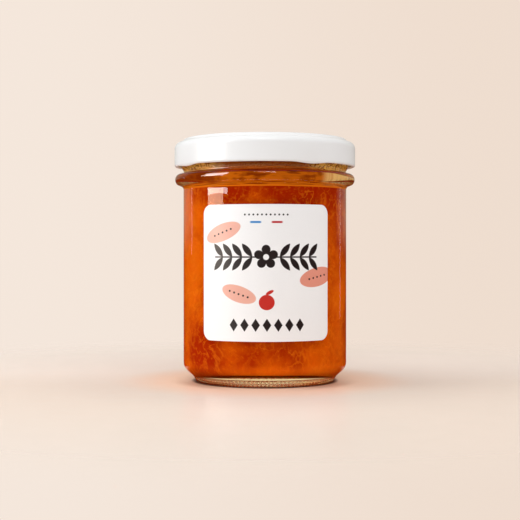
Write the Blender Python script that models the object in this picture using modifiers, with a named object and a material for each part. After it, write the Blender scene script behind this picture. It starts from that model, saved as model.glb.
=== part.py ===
"""Glass jam jar with a white twist-off cap, a paper label and its filling of apricot jam.

Metres, +Z up. The origin is the centre of the foot, on the surface the jar stands on, and the label faces -Y.
"""

import math

import bmesh
import bpy
from mathutils import Vector

MM = 0.001
SEGMENTS = 64  # flats round each turned piece
WELD_DISTANCE = 0.01 * MM
FIT_GAP = 0.3 * MM  # air between pieces that touch on the real jar

# Glass jar, outside: a straight body, a rolled heel and a narrower foot
BODY_RADIUS = 38.3 * MM
BODY_TOP = 88.4 * MM
HEEL_TOP = 9.0 * MM
HEEL_FALL = 3.9 * MM  # straight drop that the heel's curve starts with
HEEL_SWELL = 1.7 * MM  # how far out, and how far up, the foot pulls that curve
HEEL_LIFT = 2.3 * MM
FOOT_RADIUS = 33.5 * MM
FOOT_HEIGHT = 2.0 * MM
FOOT_TUCK = 0.4 * MM
FOOT_ROUNDING = 1.7 * MM
BEARING_INNER_RADIUS = 29.4 * MM
PUSH_UP_HEIGHT = 2.4 * MM

# Glass jar, outside: the bead that hands carry it by, the groove, the thread and the lip
SHOULDER_SWELL = 0.2 * MM
SHOULDER_HEIGHT = 3.1 * MM
BEAD_RADIUS = 42.25 * MM
BEAD_MIDDLE = 94.3 * MM
BEAD_HALF_HEIGHT = 2.8 * MM
BEAD_FULLNESS = 0.8  # 1 is an ellipse, and less is a fuller bead
BEAD_STEPS = 8
GROOVE_RADIUS = 38.1 * MM
GROOVE_TOP = 98.2 * MM
THREAD_RADIUS = 39.2 * MM
THREAD_BOTTOM = 100.2 * MM
THREAD_TOP = 105.6 * MM
THREAD_SLOPE = 1.0 * MM
NECK_RADIUS = 38.0 * MM
JAR_HEIGHT = 112.5 * MM
LIP_STEPS = 6

# Glass jar, inside
BORE_RADIUS = 36.0 * MM
BORE_TOP = 87.4 * MM
BEAD_HOLLOW = 0.45 * MM  # the bore swells a little behind the bead
BEAD_HOLLOW_BOTTOM = 92.3 * MM
BEAD_HOLLOW_TOP = 95.3 * MM
MOUTH_RADIUS = 35.6 * MM
FLOOR_CENTRE = 6.3 * MM
FLOOR_EDGE = 5.4 * MM
FLOOR_EDGE_RADIUS = 31.0 * MM
FLOOR_CROWN_RADIUS = 18.6 * MM
FLOOR_CROWN_DROP = 0.2 * MM
INNER_HEEL_HEIGHT = 6.0 * MM

# Cap, pressed from lacquered tinplate
CAP_RADIUS = 42.5 * MM
CAP_BOTTOM = 100.25 * MM
CAP_TOP = 113.4 * MM
CAP_SHEET = 0.5 * MM
CAP_SHOULDER = 3.2 * MM
CAP_STEP_RADIUS = 38.9 * MM
CAP_STEP_HEIGHT = 1.5 * MM
CAP_RING_OUTER = 37.5 * MM
CAP_RING_INNER = 33.8 * MM
CAP_RING_EDGE = 0.5 * MM
CAP_RING_SLOPE = 0.75 * MM
CAP_PANEL_DEPTH = 1.6 * MM
CAP_PANEL_SLOPE = 1.1 * MM
CAP_BUTTON_RADIUS = 11.0 * MM
CAP_BUTTON_RISE = 0.4 * MM
CAP_BUTTON_SLOPE = 1.0 * MM
CURL_RADIUS = 0.9 * MM
LUG_COUNT = 4
FIRST_LUG_DEG = 30.0  # from the label's middle, towards +X
LUG_HALF_DEG = 15.0
LUG_DROP = 0.65 * MM
LUG_PINCH = 0.9 * MM
LUG_REACH = 2.9 * MM  # how far up the skirt a lug is pressed

# Jam
JAM_LEVEL = 104.0 * MM
JAM_MENISCUS = 0.8 * MM
JAM_MENISCUS_WIDTH = 3.5 * MM

# Label
LABEL_WIDTH = 62.0 * MM
LABEL_HEIGHT = 60.6 * MM
LABEL_CENTRE = 51.3 * MM
LABEL_CORNER = 4.3 * MM
LABEL_SHEET = 0.15 * MM
LABEL_TURN_DEG = 0.55
LABEL_COLUMNS = 20
LABEL_CORNER_COLUMNS = 5

CLEAR_GLASS = (0.92, 0.95, 0.93, 1.0)
APRICOT_JAM = (0.78, 0.20, 0.01, 1.0)
WHITE_LACQUER = (0.88, 0.88, 0.87, 1.0)
LABEL_PAPER = (0.90, 0.88, 0.87, 1.0)


def arc(centre, radius, start_deg, end_deg, steps):
    """Points (r, z) along an arc, from one angle to the other, both ends included."""
    points = []
    for i in range(steps + 1):
        angle = math.radians(start_deg + (end_deg - start_deg) * i / steps)
        points.append((centre[0] + radius * math.cos(angle), centre[1] + radius * math.sin(angle)))
    return points


def bezier(start, pull_start, pull_end, end, steps):
    """Points (r, z) along a cubic curve, both ends included."""
    points = []
    for i in range(steps + 1):
        t = i / steps
        weights = ((1 - t) ** 3, 3 * t * (1 - t) ** 2, 3 * t * t * (1 - t), t**3)
        corners = (start, pull_start, pull_end, end)
        points.append(tuple(sum(w * c[k] for w, c in zip(weights, corners)) for k in (0, 1)))
    return points


def finish(name, colour, roughness, transmission=0.0):
    """A Principled material of that colour."""
    made = bpy.data.materials.new(name)
    made.use_nodes = True
    made.diffuse_color = colour
    shader = made.node_tree.nodes["Principled BSDF"]
    shader.inputs["Base Color"].default_value = colour
    shader.inputs["Roughness"].default_value = roughness
    shader.inputs["Transmission Weight"].default_value = transmission
    return made


def place(name, mesh, material, height, collection, frame):
    """An object of that mesh in the collection, standing at a height on the jar's axis."""
    mesh.materials.append(material)
    piece = bpy.data.objects.new(name, mesh)
    piece.location = (0, 0, height)
    piece.parent = frame
    collection.objects.link(piece)
    return piece


def turned(name, profile, material, height, collection, frame):
    """A turned piece. Its profile runs down the outer side, and its own base stands at that height."""
    mesh = bpy.data.meshes.new(name)
    corners = [(r, 0, z - height) for r, z in profile]
    mesh.from_pydata(corners, [(i, i + 1) for i in range(len(corners) - 1)], [])
    piece = place(name, mesh, material, height, collection, frame)
    screw = piece.modifiers.new("turn", "SCREW")
    screw.steps = screw.render_steps = SEGMENTS
    screw.use_merge_vertices = True
    screw.merge_threshold = WELD_DISTANCE
    screw.use_smooth_shade = True
    return piece


def bore_profile(wall, floor_rise):
    """Up the inside of the jar from the middle of its floor to the groove's height.

    The wall is the bore's radius there, and floor_rise lifts the floor.
    The jam's outline is this one, a gap in.
    """
    inset = BORE_RADIUS - wall
    edge = FLOOR_EDGE + floor_rise
    inner_heel = bezier(
        (FLOOR_EDGE_RADIUS, edge),
        (wall - 0.17 * INNER_HEEL_HEIGHT, edge + 0.05 * INNER_HEEL_HEIGHT),
        (wall, edge + 0.33 * INNER_HEEL_HEIGHT),
        (wall, edge + INNER_HEEL_HEIGHT),
        5,
    )
    return [
        (0, FLOOR_CENTRE + floor_rise),
        (FLOOR_CROWN_RADIUS, FLOOR_CENTRE - FLOOR_CROWN_DROP + floor_rise),
        *inner_heel,
        (wall, BORE_TOP),
        (wall + BEAD_HOLLOW, BEAD_HOLLOW_BOTTOM),
        (wall + BEAD_HOLLOW, BEAD_HOLLOW_TOP),
        (MOUTH_RADIUS - inset, GROOVE_TOP),
    ]


def jar_profile():
    """From the middle of the inner floor up the bore, over the lip, and down the outside to the push-up."""
    lip_radius = (NECK_RADIUS - MOUTH_RADIUS) / 2
    lip = arc((MOUTH_RADIUS + lip_radius, JAR_HEIGHT - lip_radius), lip_radius, 180, 0, LIP_STEPS)
    thread = [
        (NECK_RADIUS, THREAD_TOP + THREAD_SLOPE),
        (THREAD_RADIUS, THREAD_TOP),
        (THREAD_RADIUS, THREAD_BOTTOM),
        (GROOVE_RADIUS, GROOVE_TOP),
    ]
    bead = []
    for i in range(BEAD_STEPS):
        angle = math.radians(90 - 180 * i / BEAD_STEPS)
        depth = (BEAD_RADIUS - GROOVE_RADIUS) * math.cos(angle) ** BEAD_FULLNESS
        bead.append((GROOVE_RADIUS + depth, BEAD_MIDDLE + BEAD_HALF_HEIGHT * math.sin(angle)))
    bead_bottom = BEAD_MIDDLE - BEAD_HALF_HEIGHT
    shoulder = bezier(
        (BODY_RADIUS + 0.7 * MM, bead_bottom - 0.1 * SHOULDER_HEIGHT),
        (BODY_RADIUS + SHOULDER_SWELL, bead_bottom - 0.26 * SHOULDER_HEIGHT),
        (BODY_RADIUS, bead_bottom - 0.68 * SHOULDER_HEIGHT),
        (BODY_RADIUS, BODY_TOP),
        3,
    )
    heel = bezier(
        (BODY_RADIUS, HEEL_TOP),
        (BODY_RADIUS, HEEL_TOP - HEEL_FALL),
        (FOOT_RADIUS + HEEL_SWELL, FOOT_HEIGHT + HEEL_LIFT),
        (FOOT_RADIUS, FOOT_HEIGHT),
        6,
    )
    foot = arc((FOOT_RADIUS - FOOT_TUCK - FOOT_ROUNDING, FOOT_ROUNDING), FOOT_ROUNDING, -15, -90, 3)
    push_up = [
        (BEARING_INNER_RADIUS, 0),
        (0.96 * BEARING_INNER_RADIUS, 0.4 * PUSH_UP_HEIGHT),
        (0.62 * BEARING_INNER_RADIUS, 0.85 * PUSH_UP_HEIGHT),
        (0, PUSH_UP_HEIGHT),
    ]
    return bore_profile(BORE_RADIUS, 0) + lip + thread + bead + shoulder + heel + foot + push_up


def jam_profile():
    """From the middle of the jam's surface, out to the neck and down to the floor, a gap off the glass."""
    neck = MOUTH_RADIUS - FIT_GAP
    return [
        (0, JAM_LEVEL - JAM_MENISCUS),
        (neck - JAM_MENISCUS_WIDTH, JAM_LEVEL - 0.8 * JAM_MENISCUS),
        (neck, JAM_LEVEL),
        *reversed(bore_profile(BORE_RADIUS - FIT_GAP, FIT_GAP)),
    ]


def one_sheet_in(profile, sheet):
    """The same line at a sheet's distance on its inner side, with mitred corners."""
    ways = [(Vector(b) - Vector(a)).normalized() for a, b in zip(profile, profile[1:])]
    normals = [Vector((way.y, -way.x)) for way in ways]
    points = []
    for i, point in enumerate(profile):
        before = normals[max(i - 1, 0)]
        after = normals[min(i, len(normals) - 1)]
        mitre = (before + after) / (1 + before.dot(after))
        points.append(tuple(Vector(point) + sheet * mitre))
    return points


def cap_profile():
    """Down the outside from the button to the curl, and back up the inside, one sheet away."""
    panel = CAP_TOP - CAP_PANEL_DEPTH
    top = [
        (0, panel + CAP_BUTTON_RISE),
        (CAP_BUTTON_RADIUS - CAP_BUTTON_SLOPE, panel + CAP_BUTTON_RISE),
        (CAP_BUTTON_RADIUS, panel),
        (CAP_RING_INNER - CAP_RING_EDGE - CAP_PANEL_SLOPE, panel),
        (CAP_RING_INNER - CAP_RING_EDGE, CAP_TOP - CAP_RING_EDGE),
        (CAP_RING_INNER, CAP_TOP),
        (CAP_RING_OUTER, CAP_TOP),
        (CAP_RING_OUTER + CAP_RING_SLOPE, CAP_TOP - CAP_RING_EDGE),
        (CAP_STEP_RADIUS, CAP_TOP - CAP_STEP_HEIGHT),
    ]
    shoulder_centre = (CAP_RADIUS - CAP_SHOULDER, CAP_TOP - CAP_STEP_HEIGHT - CAP_SHOULDER)
    shell = top + arc(shoulder_centre, CAP_SHOULDER, 85, 0, 5)
    curl_centre = (CAP_RADIUS - CURL_RADIUS, CAP_BOTTOM + CURL_RADIUS)
    curl = arc(curl_centre, CURL_RADIUS, 0, -180, 6)
    curl_return = [
        (curl_centre[0] - 0.6 * CURL_RADIUS, curl_centre[1] + 0.9 * CURL_RADIUS),
        (CAP_RADIUS - CAP_SHEET, curl_centre[1] + 1.6 * CURL_RADIUS),
    ]
    return shell + curl + curl_return + one_sheet_in(shell, CAP_SHEET)[::-1]


def press_lugs(cap):
    """Makes the turned cap a mesh and presses its lugs: there the curl is pinched in and pushed down."""
    graph = bpy.context.evaluated_depsgraph_get()
    cap.data = bpy.data.meshes.new_from_object(cap.evaluated_get(graph))
    cap.modifiers.clear()
    spacing = 360 / LUG_COUNT
    for vertex in cap.data.vertices:
        height = vertex.co.z
        radius = math.hypot(vertex.co.x, vertex.co.y)
        if height > LUG_REACH or radius < NECK_RADIUS:
            continue
        angle = math.degrees(math.atan2(vertex.co.x, -vertex.co.y)) - FIRST_LUG_DEG
        from_lug = (angle + spacing / 2) % spacing - spacing / 2
        if abs(from_lug) > LUG_HALF_DEG:
            continue
        across = math.cos(math.pi / 2 * from_lug / LUG_HALF_DEG) ** 2
        share = across * (1 - height / LUG_REACH)
        squeeze = (radius - LUG_PINCH * share) / radius
        vertex.co.x *= squeeze
        vertex.co.y *= squeeze
        vertex.co.z -= LUG_DROP * share


def label_mesh():
    """The label's sheet bent round the jar, one strip for each column between its rounded ends."""
    straight = LABEL_WIDTH / 2 - LABEL_CORNER
    corner_places = [
        straight + LABEL_CORNER * math.sin(math.pi / 2 * i / LABEL_CORNER_COLUMNS)
        for i in range(1, LABEL_CORNER_COLUMNS + 1)
    ]
    middle_places = [straight * (2 * i / LABEL_COLUMNS - 1) for i in range(LABEL_COLUMNS + 1)]
    radius = BODY_RADIUS + FIT_GAP
    build = bmesh.new()
    columns = []
    for place_along in [-p for p in reversed(corner_places)] + middle_places + corner_places:
        into_corner = max(0.0, abs(place_along) - straight)
        drop = LABEL_CORNER - math.sqrt(max(0.0, LABEL_CORNER**2 - into_corner**2))
        top = LABEL_HEIGHT / 2 - drop
        angle = place_along / radius
        x = radius * math.sin(angle)
        y = -radius * math.cos(angle)
        columns.append([build.verts.new((x, y, z)) for z in (-top, top)])
    for left, right in zip(columns, columns[1:]):
        build.faces.new((left[0], right[0], right[1], left[1]))
    mesh = bpy.data.meshes.new("label")
    build.to_mesh(mesh)
    build.free()
    return mesh


def main():
    for old in list(bpy.data.objects):
        bpy.data.objects.remove(old)
    collection = bpy.data.collections.new("jam_jar")
    bpy.context.scene.collection.children.link(collection)
    frame = bpy.data.objects.new("jam_jar_frame", None)
    collection.objects.link(frame)

    clear_glass = finish("clear_glass", CLEAR_GLASS, 0.03, transmission=1.0)
    apricot_jam = finish("apricot_jam", APRICOT_JAM, 0.25)
    white_lacquer = finish("white_lacquer", WHITE_LACQUER, 0.28)
    label_paper = finish("label_paper", LABEL_PAPER, 0.55)

    turned("glass_jar", jar_profile(), clear_glass, 0, collection, frame)
    turned("jam", jam_profile(), apricot_jam, FLOOR_EDGE + FIT_GAP, collection, frame)
    cap = turned("cap", cap_profile(), white_lacquer, CAP_BOTTOM, collection, frame)
    bpy.context.view_layer.update()
    press_lugs(cap)
    label = place("label", label_mesh(), label_paper, LABEL_CENTRE, collection, frame)
    label.rotation_euler.z = math.radians(LABEL_TURN_DEG)
    sheet = label.modifiers.new("sheet", "SOLIDIFY")
    sheet.thickness = LABEL_SHEET
    sheet.offset = 1


main()
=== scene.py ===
import math

import bmesh
import bpy
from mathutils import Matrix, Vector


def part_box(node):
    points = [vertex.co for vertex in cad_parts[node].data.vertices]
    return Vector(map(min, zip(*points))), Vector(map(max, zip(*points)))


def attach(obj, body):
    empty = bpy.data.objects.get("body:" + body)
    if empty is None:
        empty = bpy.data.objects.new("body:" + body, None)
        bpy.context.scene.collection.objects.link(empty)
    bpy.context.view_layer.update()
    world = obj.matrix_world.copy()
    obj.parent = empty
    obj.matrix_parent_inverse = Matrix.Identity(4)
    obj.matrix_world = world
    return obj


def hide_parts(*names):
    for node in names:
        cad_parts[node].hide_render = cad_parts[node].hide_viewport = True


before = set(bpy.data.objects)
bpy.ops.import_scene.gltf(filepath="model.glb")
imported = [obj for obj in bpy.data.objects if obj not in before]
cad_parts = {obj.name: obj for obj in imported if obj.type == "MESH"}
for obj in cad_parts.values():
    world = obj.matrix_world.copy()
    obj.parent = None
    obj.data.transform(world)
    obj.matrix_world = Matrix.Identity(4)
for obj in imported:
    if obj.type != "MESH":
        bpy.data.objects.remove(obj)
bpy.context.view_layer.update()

# The jar is moulded from clear soda-lime glass, two to three millimetres thick. It has a bead to hold
# it by under the cap, a parting seam down each side, and a knurled ring on the foot that it stands on.
MM = 0.001
WELD_DISTANCE = 0.001 * MM
JAR_SIDES = 684
BODY_RADIUS = 38.3 * MM
BODY_TOP = 89.3 * MM
HEEL_TOP = 9.0 * MM
FOOT_EDGE = (33.5 * MM, 2.0 * MM)
HEEL_PULLS = ((35.2 * MM, 4.3 * MM), (BODY_RADIUS, 5.1 * MM))
FOOT_ROUNDING = 1.7 * MM
BEARING_OUTER = 31.4 * MM
BEARING_INNER = 29.4 * MM
PUSH_UP = 2.4 * MM
PUSH_UP_PULLS = ((22.0 * MM, PUSH_UP), (28.9 * MM, 1.6 * MM))
SHOULDER_PULLS = ((BODY_RADIUS, 90.1 * MM), (38.5 * MM, 90.8 * MM))
SHOULDER_EDGE = (39.0 * MM, 91.2 * MM)
BEAD_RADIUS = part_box("glass_jar")[1].x
BEAD_MIDDLE = 94.3 * MM
BEAD_HALF_HEIGHT = 2.8 * MM
BEAD_FULLNESS = 0.65
BEAD_FROM_DEG = -67.5
BEAD_STEPS = 26
GROOVE_RADIUS = 38.1 * MM
GROOVE_TOP = 98.2 * MM
THREAD_RADIUS = 39.2 * MM
THREAD_BOTTOM = 100.2 * MM
THREAD_TOP = 105.6 * MM
NECK_RADIUS = 38.0 * MM
MOUTH_RADIUS = 35.6 * MM
JAR_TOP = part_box("glass_jar")[1].z
BORE_RADIUS = 36.0 * MM
BORE_TOP = 87.4 * MM
HOLLOW_REACH = 0.65 * MM
FLOOR_CENTRE = 6.7 * MM
FLOOR_EDGE = (31.0 * MM, 6.4 * MM)
INNER_HEEL_TOP = 11.4 * MM
KNURLS = 114
KNURL_DEPTH = 1.0 * MM
KNURL_TOP = 2.5 * MM
KNURL_LEAN = 1.2
KNURL_FADE = 0.6
KNURLS_FROM = (BEARING_INNER, BEARING_INNER + 0.5 * MM)
SEAM_HEIGHT = 0.05 * MM
SEAM_HALF_WIDTH = 0.35 * MM
GLASS = (0.975, 0.985, 0.975, 1.0)
FOOT_PAINTED_GLOW = (1.0, 0.96, 0.78, 1.0)  # painted glow: gold where light that went through the jam comes out at the foot
# painted shade: darker amber at the knurls, low on the foot
KNURL_PAINTED_SHADE = (0.74, 0.58, 0.38, 1.0)
GROOVE_PAINTED_SHADE = (0.22, 0.012, 0.008, 1.0)  # painted shade: a dark red line round the glass above the bead, where the jam behind lies in shade
NECK_AMBER_GLOW = (1.0, 0.72, 0.24, 1.0)  # the neck's glass is tinted amber: the froth's colour, and a painted glow in its thick ring
GLASS_GAPS = (0.16, 0.035, 0.006, 1.0)  # and the dark gaps between its bubbles
GLASS_OPEN = (0.96, 0.965, 0.96, 1.0)  # what is left of soft light after a wall
FOOT_GLOW = (4.0 * MM, 8.0 * MM)
KNURL_SHADE_TO = (1.4 * MM, 2.4 * MM)
GROOVE_SHADE_LINE = (96.3 * MM, 0.35 * MM, 0.70 * MM)
NECK_GLOW = (96.4 * MM, 97.2 * MM)
GAP_SIZE = 1.3
GAP_EDGE = (0.41, 0.48)
GAPS_ASIDE = (14 * MM, 26 * MM)
WEAR_SHARE = 0.15  # how fine the wear is beside the grain
WEAR_EDGE = (0.35, 0.65)


def arc(centre, radius, start_deg, end_deg, steps):
    """Points (r, z) along an arc, both ends included."""
    angles = [math.radians(start_deg + (end_deg - start_deg) * i / steps) for i in range(steps + 1)]
    return [(centre[0] + radius * math.cos(a), centre[1] + radius * math.sin(a)) for a in angles]


def bent(start, pull_start, pull_end, end, steps):
    """Points (r, z) along a cubic curve, both ends included."""
    points = []
    for i in range(steps + 1):
        t = i / steps
        weights = ((1 - t) ** 3, 3 * t * (1 - t) ** 2, 3 * t * t * (1 - t), t**3)
        corners = (start, pull_start, pull_end, end)
        points.append(tuple(sum(w * c[k] for w, c in zip(weights, corners)) for k in (0, 1)))
    return points


def straight(start, end, margin=0.4 * MM):
    """A straight run with a point close to each end, which keeps the shading of the run flat."""
    share = min(0.4, margin / math.dist(start, end))
    inner = [tuple(a + (b - a) * t for a, b in zip(start, end)) for t in (share, 1 - share)]
    return [start, *inner, end]


def outline(*runs):
    """One line of points through the runs, without the repeats where they meet."""
    points = []
    for run in runs:
        for point in run:
            if not points or math.dist(point, points[-1]) > WELD_DISTANCE:
                points.append(point)
    return points


def bore(spread):
    """From the middle of the jar's floor up the inside to the neck. A spread moves it into the glass."""
    wall = BORE_RADIUS + spread
    edge = (FLOOR_EDGE[0], FLOOR_EDGE[1] - spread)
    centre = (0.0, FLOOR_CENTRE - spread)
    heel_top = (wall, INNER_HEEL_TOP)
    heel_rise = heel_top[1] - edge[1]
    hollow = wall + HOLLOW_REACH
    return outline(
        bent(centre, (0.4 * edge[0], centre[1]), (0.7 * edge[0], edge[1]), edge, 10),
        bent(edge, (wall - 0.17 * heel_rise, edge[1] + 0.02 * heel_rise),
             (wall, edge[1] + 0.33 * heel_rise), heel_top, 14),
        straight(heel_top, (wall, BORE_TOP)),
        bent((wall, BORE_TOP), (wall, BEAD_MIDDLE - BEAD_HALF_HEIGHT), (hollow, BEAD_MIDDLE - 2 * MM),
             (hollow - 0.1 * MM, BEAD_MIDDLE), 10),
        bent((hollow - 0.1 * MM, BEAD_MIDDLE), (hollow - 0.2 * MM, BEAD_MIDDLE + 2 * MM),
             (MOUTH_RADIUS + spread, GROOVE_TOP - 1.5 * MM), (MOUTH_RADIUS + spread, GROOVE_TOP), 10),
    )


def jar_outline():
    """From the middle of the push-up under the jar, up the outside, over the lip and down the inside."""
    bead = []
    for i in range(BEAD_STEPS + 1):
        angle = math.radians(BEAD_FROM_DEG + (90 - BEAD_FROM_DEG) * i / BEAD_STEPS)
        reach = (BEAD_RADIUS - GROOVE_RADIUS) * math.cos(angle) ** BEAD_FULLNESS
        bead.append((GROOVE_RADIUS + reach, BEAD_MIDDLE + BEAD_HALF_HEIGHT * math.sin(angle)))
    thread = [
        (GROOVE_RADIUS, GROOVE_TOP),
        (THREAD_RADIUS, THREAD_BOTTOM),
        (THREAD_RADIUS, THREAD_TOP),
        (NECK_RADIUS, THREAD_TOP + 1.0 * MM),
    ]
    lip = (NECK_RADIUS - MOUTH_RADIUS) / 2
    lip_centre = (MOUTH_RADIUS + lip, JAR_TOP - lip)
    body_bottom = (BODY_RADIUS, HEEL_TOP)
    body_top = (BODY_RADIUS, BODY_TOP)
    return outline(
        bent((0.0, PUSH_UP), *PUSH_UP_PULLS, (BEARING_INNER, 0.0), 12),
        [(BEARING_INNER + (BEARING_OUTER - BEARING_INNER) * i / 4, 0.0) for i in range(5)],
        arc((BEARING_OUTER, FOOT_ROUNDING), FOOT_ROUNDING, -90, -20, 8),
        bent(FOOT_EDGE, *HEEL_PULLS, body_bottom, 16),
        straight(body_bottom, body_top),
        bent(body_top, *SHOULDER_PULLS, SHOULDER_EDGE, 8),
        bead,
        *[straight(a, b, 0.2 * MM) for a, b in zip(thread, thread[1:])],
        straight(thread[-1], (NECK_RADIUS, lip_centre[1]), 0.2 * MM),
        arc(lip_centre, lip, 0, 180, 12),
        straight((MOUTH_RADIUS, lip_centre[1]), (MOUTH_RADIUS, GROOVE_TOP)),
        reversed(bore(0.0)),
    )


def feed(tree, socket, value):
    """Gives an input a plain value, or a link where the value is another node's output."""
    if isinstance(value, bpy.types.NodeSocket):
        tree.links.new(value, socket)
    else:
        socket.default_value = value


def add(tree, kind, values=None, **settings):
    """A node with its settings made and its inputs fed, by their names or numbers."""
    node = tree.nodes.new(kind)
    for name, setting in settings.items():
        setattr(node, name, setting)
    for key, value in (values or {}).items():
        feed(tree, node.inputs[key], value)
    return node


def calc(tree, operation, *values):
    """One sum on numbers or outputs, in a shader tree or a geometry tree."""
    return add(tree, "ShaderNodeMath", dict(enumerate(values)), operation=operation).outputs[0]


def minus(tree, value, taken):
    """The value less what is taken from it."""
    return calc(tree, "SUBTRACT", value, taken)


def times(tree, product, *factors):
    """The product of numbers or outputs."""
    for factor in factors:
        product = calc(tree, "MULTIPLY", product, factor)
    return product


def vector(tree, operation, *values):
    """One sum on places or directions; its outputs are the vector and the value."""
    return add(tree, "ShaderNodeVectorMath", dict(enumerate(values)), operation=operation).outputs


def ease(tree, value, low, high, start=0.0, end=1.0):
    """Goes smoothly from start to end as the value goes from low to high."""
    sizes = {"Value": value, "From Min": low, "From Max": high, "To Min": start, "To Max": end}
    return add(tree, "ShaderNodeMapRange", sizes, interpolation_type="SMOOTHSTEP").outputs[0]


def blend(tree, share, under, over):
    """The under colour with a share of the over colour."""
    return add(tree, "ShaderNodeMix", {0: share, 6: under, 7: over}, data_type="RGBA").outputs[2]


def mixed_shader(tree, share, under, over):
    """The under shader with a share of the over shader."""
    return add(tree, "ShaderNodeMixShader", {0: share, 1: under, 2: over}).outputs[0]


def new_tree(name, kind, inputs, outputs):
    """A node group. Each named socket has a plain value to start with, or the name of its type."""
    tree = bpy.data.node_groups.new(name, kind)
    for way, sockets in (("INPUT", inputs), ("OUTPUT", outputs)):
        for label, value in sockets.items():
            kind_of_socket = value if isinstance(value, str) else type(value).__name__.capitalize()
            made = tree.interface.new_socket(label, in_out=way, socket_type="NodeSocket" + kind_of_socket)
            if not isinstance(value, str):
                made.default_value = value
    return tree, add(tree, "NodeGroupInput").outputs, add(tree, "NodeGroupOutput").inputs


def turning_tree():
    """Turns a line of points in the XZ plane round the Z axis, into a closed skin of quads."""
    tree, given, result = new_tree(
        "turned_piece", "GeometryNodeTree", {"Line": "Geometry", "Sides": 64}, {"Mesh": "Geometry"}
    )
    count = add(tree, "GeometryNodeAttributeDomainSize", {0: given["Line"]}).outputs["Point Count"]
    columns = calc(tree, "ADD", given["Sides"], 1)
    grid = add(tree, "GeometryNodeMeshGrid", {"Vertices X": columns, "Vertices Y": count})
    index = add(tree, "GeometryNodeInputIndex").outputs[0]
    column = calc(tree, "FLOOR", calc(tree, "DIVIDE", calc(tree, "ADD", index, 0.5), count))
    row = minus(tree, index, times(tree, column, count))
    place = add(tree, "GeometryNodeInputPosition").outputs[0]
    sample = add(tree, "GeometryNodeSampleIndex", data_type="FLOAT_VECTOR")
    for key, value in (("Geometry", given["Line"]), ("Value", place), ("Index", row)):
        feed(tree, sample.inputs[key], value)
    point = add(tree, "ShaderNodeSeparateXYZ", {0: sample.outputs[0]}).outputs
    angle = calc(tree, "DIVIDE", times(tree, column, math.tau), given["Sides"])
    turned = add(tree, "ShaderNodeCombineXYZ", {
        "X": times(tree, point["X"], calc(tree, "SINE", angle)),
        "Y": times(tree, point["X"], calc(tree, "COSINE", angle), -1.0), "Z": point["Z"],
    }).outputs[0]
    skin = add(tree, "GeometryNodeSetPosition", {"Geometry": grid.outputs[0], "Position": turned}).outputs[0]
    closed = {"Geometry": skin, "Distance": WELD_DISTANCE}
    welded = add(tree, "GeometryNodeMergeByDistance", closed).outputs[0]
    smooth = add(tree, "GeometryNodeSetShadeSmooth", {"Geometry": welded})
    feed(tree, result["Mesh"], smooth.outputs[0])
    return tree


turned_piece = turning_tree()


def turned_mesh(tree, given):
    """The tree's own line, turned round the Z axis."""
    turned = add(tree, "GeometryNodeGroup", node_tree=turned_piece)
    for label in ("Line", "Sides"):
        feed(tree, turned.inputs[label], given[label])
    return turned.outputs[0]


def place_round(tree):
    """Each point's radius, its angle from the label's middle towards +X, and its X, Y and Z."""
    place = add(tree, "GeometryNodeInputPosition").outputs[0]
    part = add(tree, "ShaderNodeSeparateXYZ", {0: place}).outputs
    squares = [calc(tree, "POWER", part[axis], 2.0) for axis in ("X", "Y")]
    radius = calc(tree, "SQRT", calc(tree, "ADD", *squares))
    return radius, calc(tree, "ARCTAN2", part["X"], times(tree, part["Y"], -1.0)), part


def close_tree(tree, given, result, mesh, offset=None):
    """Ends a tree that makes a piece: points moved by the offset, instances realized, the finish set."""
    if offset is not None:
        mesh = add(tree, "GeometryNodeSetPosition", {"Geometry": mesh, "Offset": offset}).outputs[0]
    real = add(tree, "GeometryNodeRealizeInstances", {0: mesh}).outputs[0]
    done = add(tree, "GeometryNodeSetMaterial", {"Geometry": real, "Material": given["Finish"]})
    feed(tree, result["Mesh"], done.outputs[0])


def build_piece(name, tree, sizes, line=()):
    """A plain mesh piece, made by the tree from a line of points and its named sizes."""
    start = bpy.data.meshes.new(name)
    start.from_pydata([(r, 0.0, z) for r, z in line], [(i, i + 1) for i in range(len(line) - 1)], [])
    piece = bpy.data.objects.new(name, start)
    bpy.context.scene.collection.objects.link(piece)
    build = piece.modifiers.new("build", "NODES")
    build.node_group = tree
    for socket in tree.interface.items_tree:
        if socket.in_out == "INPUT" and socket.name in sizes:
            build[socket.identifier] = sizes[socket.name]
    ready = piece.evaluated_get(bpy.context.evaluated_depsgraph_get())
    mesh = bpy.data.meshes.new_from_object(ready)
    piece.modifiers.remove(build)
    piece.data = mesh
    return piece


def jar_tree():
    """The turned jar, with its knurls cut into the foot and a seam raised down each side."""
    tree, given, result = new_tree("moulded_jar", "GeometryNodeTree", {
        "Line": "Geometry", "Sides": 64, "Knurls": 100, "Knurl depth": 0.0, "Knurl top": 0.0,
        "Knurl lean": 0.0, "Seam height": 0.0, "Seam half width": 0.0, "Finish": "Material",
    }, {"Mesh": "Geometry"})
    radius, angle, part = place_round(tree)
    lean = times(tree, calc(tree, "DIVIDE", part["Z"], given["Knurl top"]), given["Knurl lean"])
    phase = calc(tree, "ADD", times(tree, angle, given["Knurls"]), lean)
    wave = calc(tree, "MULTIPLY_ADD", calc(tree, "COSINE", phase), 0.5, 0.5)
    low = ease(tree, part["Z"], times(tree, given["Knurl top"], KNURL_FADE), given["Knurl top"], 1.0, 0.0)
    cut = times(tree, wave, low, ease(tree, radius, *KNURLS_FROM), given["Knurl depth"])
    side = calc(tree, "DIVIDE", calc(tree, "ABSOLUTE", part["Y"]), given["Seam half width"])
    ridge = calc(tree, "MAXIMUM", minus(tree, 1.0, side), 0.0)
    outside = calc(tree, "GREATER_THAN", radius, (BORE_RADIUS + BODY_RADIUS) / 2)
    raised = times(tree, ridge, outside, given["Seam height"])
    out = add(tree, "GeometryNodeInputNormal").outputs[0]
    offset = vector(tree, "MULTIPLY", out, minus(tree, raised, cut))[0]
    close_tree(tree, given, result, turned_mesh(tree, given), offset)
    return tree


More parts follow.
